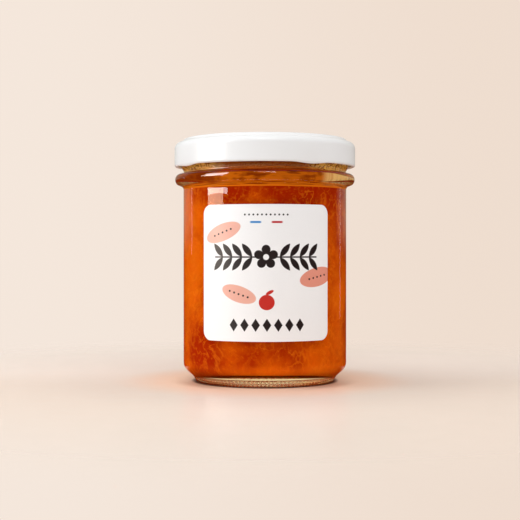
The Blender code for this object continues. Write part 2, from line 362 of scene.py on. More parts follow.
def surface_tree():
    """Fine relief and uneven gloss, from a grain and a depth in millimetres."""
    tree, given, result = new_tree("fine_surface", "ShaderNodeTree", {
        "Grain": 1.0, "Depth": 0.01, "Least roughness": 0.1, "Most roughness": 0.3,
    }, {"Roughness": "Float", "Normal": "Vector"})
    place = add(tree, "ShaderNodeTexCoord").outputs["Object"]
    scale = calc(tree, "DIVIDE", 1 / MM, given["Grain"])
    wide = times(tree, scale, WEAR_SHARE)
    relief = add(tree, "ShaderNodeTexNoise", {"Vector": place, "Scale": scale, "Detail": 3.0})
    wear = add(tree, "ShaderNodeTexNoise", {"Vector": place, "Scale": wide, "Detail": 4.0, "Roughness": 0.6})
    bump = add(tree, "ShaderNodeBump", {
        "Height": relief.outputs["Fac"], "Distance": times(tree, given["Depth"], MM), "Strength": 1.0,
    })
    least, most = given["Least roughness"], given["Most roughness"]
    gloss = ease(tree, wear.outputs["Fac"], *WEAR_EDGE, least, most)
    feed(tree, result["Roughness"], gloss)
    feed(tree, result["Normal"], bump.outputs[0])
    return tree


fine_surface = surface_tree()


def new_finish(name, surface_sizes, **sockets):
    """A material with a Principled shader on the fine surface: it, its tree, the shader and the surface."""
    material = bpy.data.materials.new(name)
    material.use_nodes = True
    tree = material.node_tree
    shader = tree.nodes["Principled BSDF"]
    surface = add(tree, "ShaderNodeGroup", node_tree=fine_surface)
    for label, value in surface_sizes.items():
        surface.inputs[label].default_value = value
    feed(tree, shader.inputs["Roughness"], surface.outputs["Roughness"])
    feed(tree, shader.inputs["Normal"], surface.outputs["Normal"])
    for label, value in sockets.items():
        shader.inputs[label.replace("_", " ")].default_value = value
    return material, tree, shader, surface


def object_place(tree):
    """Where each point of the object lies, whole and as its X, Y and Z."""
    place = add(tree, "ShaderNodeTexCoord").outputs["Object"]
    return place, add(tree, "ShaderNodeSeparateXYZ", {0: place}).outputs


def noise_at(tree, place, size_mm, detail, roughness=0.5, output="Fac"):
    """A noise from 0 to 1 whose lumps have that size."""
    sizes = {"Vector": place, "Scale": 1 / (size_mm * MM), "Detail": detail, "Roughness": roughness}
    return add(tree, "ShaderNodeTexNoise", sizes).outputs[output]


def clear_glass():
    """Clear glass with the slight waves of moulding, and painted tints: glow and shade at the foot, shade
    above the bead, amber that is partly a painted glow in the neck. Lamps and soft light reach the jam
    through it.
    """
    material, tree, shader, _ = new_finish(
        "clear_glass",
        {"Grain": 9.0, "Depth": 0.006, "Least roughness": 0.0, "Most roughness": 0.015},
        IOR=1.52, Transmission_Weight=1.0,
    )
    place, part = object_place(tree)
    # Painted on the foot's glass: a gold glow, and darker amber shade at the knurls below it.
    foot = blend(tree, ease(tree, part["Z"], *KNURL_SHADE_TO), KNURL_PAINTED_SHADE, FOOT_PAINTED_GLOW)
    body = blend(tree, ease(tree, part["Z"], *FOOT_GLOW), foot, GLASS)
    # In the neck the glass is tinted amber, partly a painted glow, with the froth's dark gaps at its sides.
    gaps = ease(tree, noise_at(tree, place, GAP_SIZE, 2.0), *GAP_EDGE, 1.0, 0.0)
    gaps = times(tree, gaps, ease(tree, calc(tree, "ABSOLUTE", part["X"]), *GAPS_ASIDE))
    froth = blend(tree, gaps, NECK_AMBER_GLOW, GLASS_GAPS)
    body = blend(tree, ease(tree, part["Z"], *NECK_GLOW), body, froth)
    # Painted shade: a dark line round the glass just above the bead.
    off_line = calc(tree, "ABSOLUTE", minus(tree, part["Z"], GROOVE_SHADE_LINE[0]))
    line = ease(tree, off_line, *GROOVE_SHADE_LINE[1:], 1.0, 0.0)
    feed(tree, shader.inputs["Base Color"], blend(tree, line, body, GROOVE_PAINTED_SHADE))
    path = add(tree, "ShaderNodeLightPath").outputs
    open_way = add(tree, "ShaderNodeBsdfTransparent", {"Color": GLASS_OPEN}).outputs[0]
    soft = mixed_shader(tree, path["Is Diffuse Ray"], shader.outputs[0], open_way)
    lit = mixed_shader(tree, path["Is Shadow Ray"], soft, open_way)
    feed(tree, tree.nodes["Material Output"].inputs["Surface"], lit)
    return material


jar = build_piece("moulded_jar", jar_tree(), {
    "Sides": JAR_SIDES, "Knurls": KNURLS, "Knurl depth": KNURL_DEPTH, "Knurl top": KNURL_TOP,
    "Knurl lean": KNURL_LEAN, "Seam height": SEAM_HEIGHT, "Seam half width": SEAM_HALF_WIDTH,
    "Finish": clear_glass(),
}, jar_outline())
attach(jar, "root")
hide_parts("glass_jar")

# The jam fills the jar to the neck: set apricot pulp, cloudy and translucent, deep orange with paler
# wisps of fruit. It wets the glass, so here it reaches just into the wall and the floor.
JAM_SIDES = 192
JAM_REACH = 0.1 * MM
JAM_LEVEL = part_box("jam")[1].z
MENISCUS = 0.8 * MM
MENISCUS_WIDTH = 3.5 * MM
SURFACE_LUMP = 7.0 * MM
SURFACE_RELIEF = 0.5 * MM
LUMPS_FADE = 0.7
TOP_SHARE = 0.98
JAM_ORANGE = (0.80, 0.130, 0.0012, 1.0)
JAM_DEEP = (0.40, 0.018, 0.0004, 1.0)
JAM_WISP = (0.92, 0.22, 0.008, 1.0)
JAM_SYRUP = (0.20, 0.020, 0.0006, 1.0)
# painted shade: dark behind the bead's upper flank, under the cap
JAM_GROOVE_SHADE = (0.24, 0.010, 0.0004, 1.0)
JAM_AMBER = (0.64, 0.135, 0.004, 1.0)
# painted highlight: a bright ring low in the neck
JAM_RING_HIGHLIGHT = (0.80, 0.175, 0.005, 1.0)
# painted light: the jam brighter at its heel, low down
JAM_HEEL_LIGHT = (1.0, 0.22, 0.006, 1.0)
JAM_FROTH = (1.0, 0.60, 0.20, 1.0)
JAM_IN_GLASS = 0.92  # the jam's refractive index against that of the glass
CLOUD_SIZE = 20.0  # this and the other sizes of noises are in millimetres
CLOUD_EDGE = (0.28, 0.72)
CLOUD_FOLD = 18.0
FOLD_SIZE = 24.0
# painted shade: the jam deeper near the top, all but at the left
JAM_SHADE_UP = (76 * MM, 92 * MM)
JAM_SHADE_ASIDE = (-30 * MM, -12 * MM)
JAM_SHADE_SHARE = 0.22
WISP_SIZE = 7.0
WISP_WIDTH = 0.09
WISP_PATCH = 17.0
WISP_SHARES = (0.10, 0.36)
PULP_SIZE = 1.6
PULP_SHARE = 0.35
HEEL_LIGHT_TO = (7.0 * MM, 11.0 * MM)
HEEL_LIGHT_ASIDE = (-26 * MM, -8 * MM)
CLOUDINESS = 0.6
NECK_CLOUDINESS = 0.08
NECK_FROM = (89.6 * MM, 89.9 * MM)
STREAK_SIZE = 9.0
STREAK_FLATNESS = 17.0
STREAK_EDGE = (0.40, 0.56)
LEFT_END = ((-28 * MM, -24 * MM), (93.4 * MM, 94.2 * MM))
RIGHT_END = ((23 * MM, 28 * MM), (94.3 * MM, 94.45 * MM))
FLECK_SIZE = 1.9
FLECK_EDGE = (0.38, 0.54)
RING_HIGHLIGHT_TO = (90.2 * MM, 91.0 * MM)
GROOVE_SHADE_FROM = (95.0 * MM, 95.3 * MM)
GROOVE_SHADE_TO = (96.5 * MM, 97.1 * MM)
# painted shadow: dark under the cap's rim
RIM_SHADOW_FROM = (98.6 * MM, 99.1 * MM)
FROTH_SIZE = 0.85
FROTH_EDGE = (0.38, 0.47)
FROTH_FROM = (96.8 * MM, 97.8 * MM)
FROTH_ASIDE = (16 * MM, 27 * MM)
JAM_MIRROR = (1.0, 0.99, 0.88, 1.0)
# Where the clouds are deeper, or brighter below 0: the middle and the reach in millimetres, and how much. The
# two brighter ones, at the left and right sides, are painted light.
TONE_AND_LIGHT_PATCHES = (
    ((-29, -24, 14), 16, 0.26), ((6, -38, 84), 14, 0.07), ((18, -34, 16), 12, 0.06),
    ((31, -21, 45), 28, -0.13), ((-33, -17, 50), 26, -0.10), ((10, -35, 14), 10, 0.06),
)


def jam_outline():
    """From the middle of the jam's floor up the wall and in over its surface."""
    neck = MOUTH_RADIUS + JAM_REACH
    rim = (neck, JAM_LEVEL)
    return outline(
        bore(JAM_REACH),
        straight((neck, GROOVE_TOP), rim),
        bent(rim, (neck - 0.3 * MENISCUS_WIDTH, JAM_LEVEL - 0.8 * MENISCUS),
             (neck - 0.6 * MENISCUS_WIDTH, JAM_LEVEL - MENISCUS),
             (neck - MENISCUS_WIDTH, JAM_LEVEL - MENISCUS), 6),
        [((neck - MENISCUS_WIDTH) * (1 - i / 24), JAM_LEVEL - MENISCUS) for i in range(25)],
    )


def jam_tree():
    """The turned filling, with the lumps of fruit showing on its surface."""
    tree, given, result = new_tree("jam_filling", "GeometryNodeTree", {
        "Line": "Geometry", "Sides": 64, "Level": 0.0, "Lump": 1.0, "Relief": 0.0, "Mouth": 0.0,
        "Seed": 3.0, "Finish": "Material",
    }, {"Mesh": "Geometry"})
    radius, _, part = place_round(tree)
    noise = add(tree, "ShaderNodeTexNoise", {
        "Scale": calc(tree, "DIVIDE", 1.0, given["Lump"]), "Detail": 2.0, "W": given["Seed"],
    }, noise_dimensions="4D")
    within = ease(tree, radius, times(tree, given["Mouth"], LUMPS_FADE), given["Mouth"], 1.0, 0.0)
    on_top = calc(tree, "GREATER_THAN", part["Z"], times(tree, given["Level"], TOP_SHARE))
    uneven = minus(tree, noise.outputs[0], 0.5)
    lift = times(tree, uneven, given["Relief"], within, on_top)
    offset = add(tree, "ShaderNodeCombineXYZ", {"Z": lift}).outputs[0]
    close_tree(tree, given, result, turned_mesh(tree, given), offset)
    return tree


def folded_place(tree, place):
    """The place pushed about by a wide noise, which folds the clouds that are laid on it."""
    swirl = noise_at(tree, place, FOLD_SIZE, 1.0, output="Color")
    centred = vector(tree, "SUBTRACT", swirl, (0.5, 0.5, 0.5))[0]
    pushed = vector(tree, "MULTIPLY", centred, (CLOUD_FOLD * MM,) * 3)[0]
    return vector(tree, "ADD", place, pushed)[0]


def cloud_colour(tree, place, part):
    """The colour below the neck: clouds, wisps of fruit, specks of pulp, painted shade up top, painted light
    at the heel and sides.
    """
    folded = folded_place(tree, place)
    # Painted shade: deeper near the top, except at the left where the key box lights it.
    deeper = times(tree, ease(tree, part["Z"], *JAM_SHADE_UP),
                   ease(tree, part["X"], *JAM_SHADE_ASIDE, 0.0, JAM_SHADE_SHARE))
    cloud = minus(tree, noise_at(tree, folded, CLOUD_SIZE, 6.0, 0.60), deeper)
    # Two of these patches are painted light: brighter at the jam's left and right sides.
    for centre, reach, depth in TONE_AND_LIGHT_PATCHES:
        off = vector(tree, "DISTANCE", folded, [c * MM for c in centre])["Value"]
        cloud = minus(tree, cloud, ease(tree, off, 0.4 * reach * MM, reach * MM, depth, 0.0))
    colour = blend(tree, ease(tree, cloud, *CLOUD_EDGE), JAM_DEEP, JAM_ORANGE)
    strand = noise_at(tree, folded, WISP_SIZE, 4.0)
    ridge = calc(tree, "ABSOLUTE", calc(tree, "MULTIPLY_ADD", strand, 2.0, -1.0))
    wisp = ease(tree, ridge, 0.0, WISP_WIDTH, 1.0, 0.0)
    patchy = ease(tree, noise_at(tree, place, WISP_PATCH, 1.0), 0.40, 0.68, *WISP_SHARES)
    colour = blend(tree, times(tree, wisp, patchy), colour, JAM_WISP)
    pulp = ease(tree, noise_at(tree, place, PULP_SIZE, 3.0), 0.5, 0.8, 0.0, PULP_SHARE)
    colour = blend(tree, pulp, colour, JAM_WISP)
    # Painted light: brighter at the heel, less so at the left.
    heel = times(tree, ease(tree, part["Z"], *HEEL_LIGHT_TO, 0.5, 0.0),
                 ease(tree, part["X"], *HEEL_LIGHT_ASIDE, 0.3, 1.0))
    return blend(tree, heel, colour, JAM_HEEL_LIGHT)


def neck_colour(tree, place, part):
    """The colour in the neck: level streaks of syrup, dark and flecked ends, a painted highlight ring,
    painted shade at the groove and a painted shadow under the cap's rim."""
    squeezed = vector(tree, "MULTIPLY", place, (1.0, 1.0, STREAK_FLATNESS))[0]
    streak = ease(tree, noise_at(tree, squeezed, STREAK_SIZE, 4.0), *STREAK_EDGE, 0.15, 1.0)
    colour = blend(tree, streak, JAM_SYRUP, JAM_AMBER)
    dark_end = times(tree, ease(tree, part["X"], *LEFT_END[0], 0.8, 0.0), ease(tree, part["Z"], *LEFT_END[1]))
    colour = blend(tree, dark_end, colour, JAM_SYRUP)
    flecks = ease(tree, noise_at(tree, place, FLECK_SIZE, 3.0), *FLECK_EDGE, 0.60, 1.0)
    pale_end = times(tree, ease(tree, part["X"], *RIGHT_END[0]),
                     ease(tree, part["Z"], *RIGHT_END[1], 0.1, 1.0), flecks)
    colour = blend(tree, pale_end, colour, JAM_FROTH)
    # Painted highlight: a bright amber ring low in the neck, under the bead.
    colour = blend(tree, ease(tree, part["Z"], *RING_HIGHLIGHT_TO, 0.9, 0.0), colour, JAM_RING_HIGHLIGHT)
    # Painted shade: dark behind the bead's upper flank, where the cap keeps light off.
    groove = times(tree, ease(tree, part["Z"], *GROOVE_SHADE_FROM), ease(tree, part["Z"], *GROOVE_SHADE_TO, 1.0, 0.1))
    colour = blend(tree, groove, colour, JAM_GROOVE_SHADE)
    # Painted shadow: the jam dark under the cap's rim.
    return blend(tree, ease(tree, part["Z"], *RIM_SHADOW_FROM, 0.0, 0.75), colour, JAM_SYRUP)


def apricot_jam():
    """Cloudy jam below the neck, clearer in it, froth at its rim. Under the glass its face mirrors aslant."""
    material, tree, shader, _ = new_finish(
        "apricot_jam",
        {"Grain": 2.5, "Depth": 0.05, "Least roughness": 0.25, "Most roughness": 0.45},
        IOR=1.40, Specular_IOR_Level=0.0, Subsurface_Radius=(1.0, 0.28, 0.06), Subsurface_Scale=0.004,
    )
    place, part = object_place(tree)
    in_neck = ease(tree, part["Z"], *NECK_FROM)
    colour = blend(tree, in_neck, cloud_colour(tree, place, part), neck_colour(tree, place, part))
    bubbles = ease(tree, noise_at(tree, place, FROTH_SIZE, 2.0), *FROTH_EDGE)
    aside = ease(tree, calc(tree, "ABSOLUTE", part["X"]), *FROTH_ASIDE, 0.10, 1.0)
    froth = times(tree, bubbles, aside, ease(tree, part["Z"], *FROTH_FROM))
    feed(tree, shader.inputs["Base Color"], blend(tree, froth, colour, JAM_FROTH))
    cloudy = ease(tree, part["Z"], *NECK_FROM, CLOUDINESS, NECK_CLOUDINESS)
    feed(tree, shader.inputs["Subsurface Weight"], cloudy)
    mirror = add(tree, "ShaderNodeBsdfGlossy", {"Color": JAM_MIRROR, "Roughness": 0.03}).outputs[0]
    share = add(tree, "ShaderNodeFresnel", {"IOR": JAM_IN_GLASS}).outputs[0]
    both = mixed_shader(tree, share, shader.outputs[0], mirror)
    feed(tree, tree.nodes["Material Output"].inputs["Surface"], both)
    return material


jam = build_piece("apricot_filling", jam_tree(), {
    "Sides": JAM_SIDES, "Level": JAM_LEVEL, "Lump": SURFACE_LUMP, "Relief": SURFACE_RELIEF,
    "Mouth": MOUTH_RADIUS, "Finish": apricot_jam(),
}, jam_outline())
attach(jam, "root")
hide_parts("jam")

# The cap is pressed from white lacquered tinplate. Its panel has a raised ring and a button, its edge
# is curled in, and four lugs pressed into the curl grip the thread when it is twisted on.
CAP_SIDES = 256
CAP_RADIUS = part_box("cap")[1].x
CAP_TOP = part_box("cap")[1].z
CAP_BOTTOM = 100.25 * MM
CAP_SHEET = 0.5 * MM
CAP_SHOULDER = 3.2 * MM
STEP_RADIUS = 38.9 * MM
STEP_HEIGHT = 1.5 * MM
SHOULDER_DEG = 80
STEP_SIDE = (38.25 * MM, CAP_TOP - 0.5 * MM)
RING_OUTER = 37.5 * MM
RING_INNER = 33.8 * MM
PANEL_EDGE = 32.2 * MM
PANEL_DEPTH = 1.6 * MM
BUTTON_RADIUS = 11.0 * MM
BUTTON_FOOT = 10.0 * MM
BUTTON_RISE = 0.4 * MM
CURL_RADIUS = 0.9 * MM
LUGS = 4
FIRST_LUG = math.radians(30.0)
LUG_HALF_WIDTH = math.radians(15.0)
LUG_DROP = 0.65 * MM
LUG_PINCH = 0.9 * MM
LUG_REACH = 2.9 * MM
LACQUER = (0.88, 0.88, 0.87, 1.0)
LACQUER_THIN = (0.875, 0.875, 0.865, 1.0)
THIN_SIZE = 14.0


def inner_side(line, sheet):
    """The same line one sheet further in, with mitred corners."""
    steps = [(b[0] - a[0], b[1] - a[1]) for a, b in zip(line, line[1:])]
    normals = [(-dz / math.hypot(dr, dz), dr / math.hypot(dr, dz)) for dr, dz in steps]
    points = []
    for i, (r, z) in enumerate(line):
        before = normals[max(i - 1, 0)]
        after = normals[min(i, len(normals) - 1)]
        spread = 1 + before[0] * after[0] + before[1] * after[1]
        out = [sheet * (before[k] + after[k]) / spread for k in (0, 1)]
        points.append((r + out[0], z + out[1]))
    return points


def cap_outline():
    """Out from the middle of the underside, down inside the skirt, round the curl and up over the top."""
    panel = CAP_TOP - PANEL_DEPTH
    button = panel + BUTTON_RISE
    shoulder_centre = (CAP_RADIUS - CAP_SHOULDER, CAP_TOP - STEP_HEIGHT - CAP_SHOULDER)
    curl_centre = (CAP_RADIUS - CURL_RADIUS, CAP_BOTTOM + CURL_RADIUS)
    shoulder = arc(shoulder_centre, CAP_SHOULDER, 0, SHOULDER_DEG, 12)
    step = CAP_TOP - STEP_HEIGHT
    shell = outline(
        straight((CAP_RADIUS, curl_centre[1]), shoulder[0]),
        shoulder,
        bent(shoulder[-1], (STEP_RADIUS + 0.35 * MM, step), (STEP_RADIUS - 0.2 * MM, step + 0.3 * MM),
             STEP_SIDE, 6),
        bent(STEP_SIDE, (STEP_SIDE[0] - 0.3 * MM, CAP_TOP - 0.1 * MM), (RING_OUTER, CAP_TOP),
             (RING_OUTER - 0.6 * MM, CAP_TOP), 6),
        bent((RING_INNER + 0.4 * MM, CAP_TOP), (RING_INNER - 0.4 * MM, CAP_TOP),
             (PANEL_EDGE + 0.6 * MM, panel), (PANEL_EDGE - 0.6 * MM, panel), 10),
        bent((BUTTON_RADIUS + 0.4 * MM, panel), (BUTTON_RADIUS - 0.3 * MM, panel),
             (BUTTON_FOOT + 0.3 * MM, button), (BUTTON_FOOT - 0.4 * MM, button), 6),
        [(0.4 * BUTTON_RADIUS, button), (0.0, button)],
    )
    curl = arc(curl_centre, CURL_RADIUS, -180, 0, 14)
    curl_return = [
        (CAP_RADIUS - CAP_SHEET, curl_centre[1] + 1.6 * CURL_RADIUS),
        (curl_centre[0] - 0.6 * CURL_RADIUS, curl_centre[1] + 0.9 * CURL_RADIUS),
    ]
    inside = [p for p in inner_side(shell, CAP_SHEET) if p[1] > curl_return[0][1]][::-1]
    return outline(inside, curl_return, curl, shell)


def cap_tree():
    """The turned cap, with its lugs pressed in and down at the curl."""
    tree, given, result = new_tree("twist_cap", "GeometryNodeTree", {
        "Line": "Geometry", "Sides": 64, "Lugs": 4, "First lug": 0.0, "Lug half width": 0.3, "Lug drop": 0.0,
        "Lug pinch": 0.0, "Lug reach": 0.001, "Bottom": 0.0, "Neck": 0.0, "Finish": "Material",
    }, {"Mesh": "Geometry"})
    radius, angle, part = place_round(tree)
    spacing = calc(tree, "DIVIDE", math.tau, given["Lugs"])
    half_way = times(tree, spacing, 0.5)
    turned_on = calc(tree, "ADD", minus(tree, angle, given["First lug"]), half_way)
    from_lug = minus(tree, calc(tree, "FLOORED_MODULO", turned_on, spacing), half_way)
    off_lug = calc(tree, "DIVIDE", calc(tree, "ABSOLUTE", from_lug), given["Lug half width"])
    aside = calc(tree, "MINIMUM", off_lug, 1.0)
    across = calc(tree, "POWER", calc(tree, "COSINE", times(tree, aside, math.pi / 2)), 2.0)
    above = calc(tree, "DIVIDE", minus(tree, part["Z"], given["Bottom"]), given["Lug reach"])
    fade = calc(tree, "MAXIMUM", minus(tree, 1.0, above), 0.0)
    share = times(tree, across, fade, calc(tree, "GREATER_THAN", radius, given["Neck"]))
    pinch = calc(tree, "DIVIDE", times(tree, share, given["Lug pinch"], -1.0), radius)
    offset = add(tree, "ShaderNodeCombineXYZ", {
        "X": times(tree, part["X"], pinch), "Y": times(tree, part["Y"], pinch),
        "Z": times(tree, share, given["Lug drop"], -1.0),
    }).outputs[0]
    close_tree(tree, given, result, turned_mesh(tree, given), offset)
    return tree


def white_lacquer():
    """White lacquer with a faint orange peel, a little thinner here and there."""
    material, tree, shader, _ = new_finish(
        "white_lacquer",
        {"Grain": 1.4, "Depth": 0.0004, "Least roughness": 0.262, "Most roughness": 0.268},
    )
    thin = ease(tree, noise_at(tree, object_place(tree)[0], THIN_SIZE, 2.0), 0.45, 0.75)
    feed(tree, shader.inputs["Base Color"], blend(tree, thin, LACQUER, LACQUER_THIN))
    return material


cap = build_piece("twist_off_cap", cap_tree(), {
    "Sides": CAP_SIDES, "Lugs": LUGS, "First lug": FIRST_LUG, "Lug half width": LUG_HALF_WIDTH,
    "Lug drop": LUG_DROP, "Lug pinch": LUG_PINCH, "Lug reach": LUG_REACH, "Bottom": CAP_BOTTOM,
    "Neck": NECK_RADIUS, "Finish": white_lacquer(),
}, cap_outline())
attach(cap, "root")
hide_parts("cap")

# The label is smooth white paper with rounded corners, glued round the front of the jar and printed
# in near-black, pink, blue and red. The print is plain: dots, dashes, ovals, a leaf garland, a fruit.
LABEL_WIDTH = 62.0 * MM
LABEL_HEIGHT = 60.6 * MM
LABEL_CENTRE = (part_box("label")[0].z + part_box("label")[1].z) / 2
LABEL_CORNER = 4.3 * MM
LABEL_TURN = math.radians(0.55)
LABEL_COLUMNS = 96
LABEL_ROWS = 24
GLUE = 0.02 * MM
PAPER_THICKNESS = 0.12 * MM
PAPER = (0.93, 0.925, 0.92, 1.0)
PAPER_SHADE = (0.90, 0.89, 0.88, 1.0)
INK_DARK = (0.012, 0.011, 0.012, 1.0)
INK_PINK = (0.86, 0.43, 0.33, 1.0)
INK_ROSE = (0.80, 0.30, 0.21, 1.0)
INK_BLUE = (0.03, 0.26, 0.62, 1.0)
INK_RED = (0.55, 0.015, 0.02, 1.0)
INK_ORANGE = (0.60, 0.014, 0.004, 1.0)
INK_EDGE = 0.09
INK_GLOSS = 0.12
FIBRE_SIZE = 0.5
GARLAND_UP = 7.0
GARLAND = {
    "Start": 8.4, "Pitch": 4.6, "Pairs": 4.0, "Leaf length": 7.6, "Leaf width": 2.7, "Lean": 52.0,
    "Stem": 0.32, "Stem short": 0.6,
}
PETALS = 5
PETAL_ROUNDING = 0.6
BLOSSOM_RADIUS = 5.4
EYE_SHARE = 0.24
BAR = 8.0
LOZENGE = 1.0


def label_tree():
    """A sheet with rounded corners, bent round the jar, with its flat size kept as a UV map."""
    tree, given, result = new_tree("bent_label", "GeometryNodeTree", {
        "Sheet": "Geometry", "Width": 0.06, "Height": 0.06, "Corner": 0.004, "Centre": 0.05, "Radius": 0.04,
        "Turn": 0.0, "Columns": 96, "Rows": 24, "Finish": "Material",
    }, {"Mesh": "Geometry"})
    grid = add(tree, "GeometryNodeMeshGrid", {
        "Size X": 2.0, "Size Y": 2.0, "Vertices X": given["Columns"], "Vertices Y": given["Rows"],
    })
    spot = add(tree, "GeometryNodeInputPosition").outputs[0]
    flat = add(tree, "ShaderNodeSeparateXYZ", {0: spot}).outputs
    half_width = times(tree, given["Width"], 0.5)
    half_height = times(tree, given["Height"], 0.5)
    along = times(tree, calc(tree, "SINE", times(tree, flat["X"], math.pi / 2)), half_width)
    run = minus(tree, half_width, given["Corner"])
    into = calc(tree, "MAXIMUM", minus(tree, calc(tree, "ABSOLUTE", along), run), 0.0)
    squares = [calc(tree, "POWER", size, 2.0) for size in (given["Corner"], into)]
    left = calc(tree, "MAXIMUM", minus(tree, *squares), 0.0)
    drop = minus(tree, given["Corner"], calc(tree, "SQRT", left))
    up = times(tree, flat["Y"], minus(tree, half_height, drop))
    print_map = add(tree, "ShaderNodeCombineXYZ", {
        "X": calc(tree, "ADD", calc(tree, "DIVIDE", along, given["Width"]), 0.5),
        "Y": calc(tree, "ADD", calc(tree, "DIVIDE", up, given["Height"]), 0.5),
    })
    mapped = add(tree, "GeometryNodeStoreNamedAttribute", data_type="FLOAT2", domain="CORNER")
    for key, value in (("Geometry", grid.outputs[0]), ("Name", "UVMap"), ("Value", print_map.outputs[0])):
        feed(tree, mapped.inputs[key], value)
    angle = calc(tree, "ADD", calc(tree, "DIVIDE", along, given["Radius"]), given["Turn"])
    place = add(tree, "ShaderNodeCombineXYZ", {
        "X": times(tree, calc(tree, "SINE", angle), given["Radius"]),
        "Y": times(tree, calc(tree, "COSINE", angle), given["Radius"], -1.0),
        "Z": calc(tree, "ADD", up, given["Centre"]),
    }).outputs[0]
    sheet = {"Geometry": mapped.outputs[0], "Position": place}
    bent_sheet = add(tree, "GeometryNodeSetPosition", sheet).outputs[0]
    smooth = add(tree, "GeometryNodeSetShadeSmooth", {"Geometry": bent_sheet}).outputs[0]
    neighbours = {2: add(tree, "GeometryNodeInputMeshEdgeNeighbors").outputs[0], 3: 1}
    border = add(tree, "FunctionNodeCompare", neighbours, data_type="INT", operation="EQUAL").outputs[0]
    crisp = add(tree, "GeometryNodeSetShadeSmooth", {
        "Geometry": smooth, "Selection": border, "Shade Smooth": False,
    }, domain="EDGE").outputs[0]
    close_tree(tree, given, result, crisp)
    return tree


def row_tree():
    """A row of like marks: ovals at a power of 2, lozenges and bars at theirs. Sizes are in millimetres."""
    tree, given, result = new_tree("printed_row", "ShaderNodeTree", {
        "Along": 0.0, "Up": 0.0, "Centre along": 0.0, "Centre up": 0.0, "Turn": 0.0, "Pitch": 1.0,
        "Each side": 0.0, "Half length": 1.0, "Half height": 1.0, "Power": 2.0,
    }, {"Mask": "Float"})
    from_x = minus(tree, given["Along"], given["Centre along"])
    from_y = minus(tree, given["Up"], given["Centre up"])
    turn = calc(tree, "RADIANS", given["Turn"])
    cosine = calc(tree, "COSINE", turn)
    sine = calc(tree, "SINE", turn)
    x = calc(tree, "ADD", times(tree, from_x, cosine), times(tree, from_y, sine))
    y = minus(tree, times(tree, from_y, cosine), times(tree, from_x, sine))
    nearest = calc(tree, "ROUND", calc(tree, "DIVIDE", x, given["Pitch"]))
    limit = times(tree, given["Each side"], -1.0)
    mark = calc(tree, "MAXIMUM", calc(tree, "MINIMUM", nearest, given["Each side"]), limit)
    across = minus(tree, x, times(tree, mark, given["Pitch"]))
    parts = []
    for size, half in ((across, given["Half length"]), (y, given["Half height"])):
        share = calc(tree, "DIVIDE", calc(tree, "ABSOLUTE", size), half)
        parts.append(calc(tree, "POWER", share, given["Power"]))
    reach = calc(tree, "POWER", calc(tree, "ADD", *parts), calc(tree, "DIVIDE", 1.0, given["Power"]))
    outside = times(tree, minus(tree, reach, 1.0), given["Half height"])
    feed(tree, result["Mask"], ease(tree, outside, -INK_EDGE, INK_EDGE, 1.0, 0.0))
    return tree


def spray_tree():
    """Pairs of leaves along a stem, mirrored about its middle. Sizes are in millimetres."""
    tree, given, result = new_tree("printed_spray", "ShaderNodeTree", {
        "Along": 0.0, "Up": 0.0, "Start": 1.0, "Pitch": 1.0, "Pairs": 3.0, "Leaf length": 1.0,
        "Leaf width": 1.0, "Lean": 45.0, "Stem": 0.2, "Stem short": 0.0,
    }, {"Mask": "Float"})
    out = minus(tree, calc(tree, "ABSOLUTE", given["Along"]), given["Start"])
    aside = calc(tree, "ABSOLUTE", given["Up"])
    nearest = calc(tree, "ROUND", calc(tree, "DIVIDE", out, given["Pitch"]))
    last = minus(tree, given["Pairs"], 1.0)
    pair = calc(tree, "MAXIMUM", calc(tree, "MINIMUM", nearest, last), 0.0)
    lean = calc(tree, "RADIANS", given["Lean"])
    cosine = calc(tree, "COSINE", lean)
    sine = calc(tree, "SINE", lean)
    half_leaf = times(tree, given["Leaf length"], 0.5)
    shift = times(tree, half_leaf, cosine)
    x = calc(tree, "ADD", minus(tree, out, times(tree, pair, given["Pitch"])), shift)
    down_leaf = calc(tree, "ADD", times(tree, x, cosine), times(tree, aside, sine))
    over_leaf = minus(tree, times(tree, aside, cosine), times(tree, x, sine))
    from_middle = calc(tree, "DIVIDE", minus(tree, down_leaf, half_leaf), half_leaf)
    room = minus(tree, 1.0, calc(tree, "POWER", calc(tree, "ABSOLUTE", from_middle), 2.0))
    blade = times(tree, given["Leaf width"], 0.5, room)
    off_leaf = minus(tree, calc(tree, "ABSOLUTE", over_leaf), blade)
    stem_end = times(tree, minus(tree, given["Pairs"], given["Stem short"]), given["Pitch"])
    before_stem = times(tree, calc(tree, "ADD", out, given["Pitch"]), -1.0)
    past_stem = calc(tree, "MAXIMUM", minus(tree, out, stem_end), before_stem)
    off_stem = calc(tree, "MAXIMUM", minus(tree, aside, given["Stem"]), past_stem)
    nearer = calc(tree, "MINIMUM", off_leaf, off_stem)
    feed(tree, result["Mask"], ease(tree, nearer, -INK_EDGE, INK_EDGE, 1.0, 0.0))
    return tree


printed_row = row_tree()
printed_spray = spray_tree()


def printed(tree, group, along, up, sizes):
    """Where a mark from that group shows on the label."""
    node = add(tree, "ShaderNodeGroup", node_tree=group)
    for label, value in {"Along": along, "Up": up, **sizes}.items():
        feed(tree, node.inputs[label], value)
    return node.outputs["Mask"]


def row_sizes(centre, half, turn=0.0, pitch=1.0, each_side=0, power=2.0):
    """The sizes of a printed row, by the names of its group's inputs."""
    return {
        "Centre along": centre[0], "Centre up": centre[1], "Half length": half[0], "Half height": half[1],
        "Turn": turn, "Pitch": pitch, "Each side": float(each_side), "Power": power,
    }


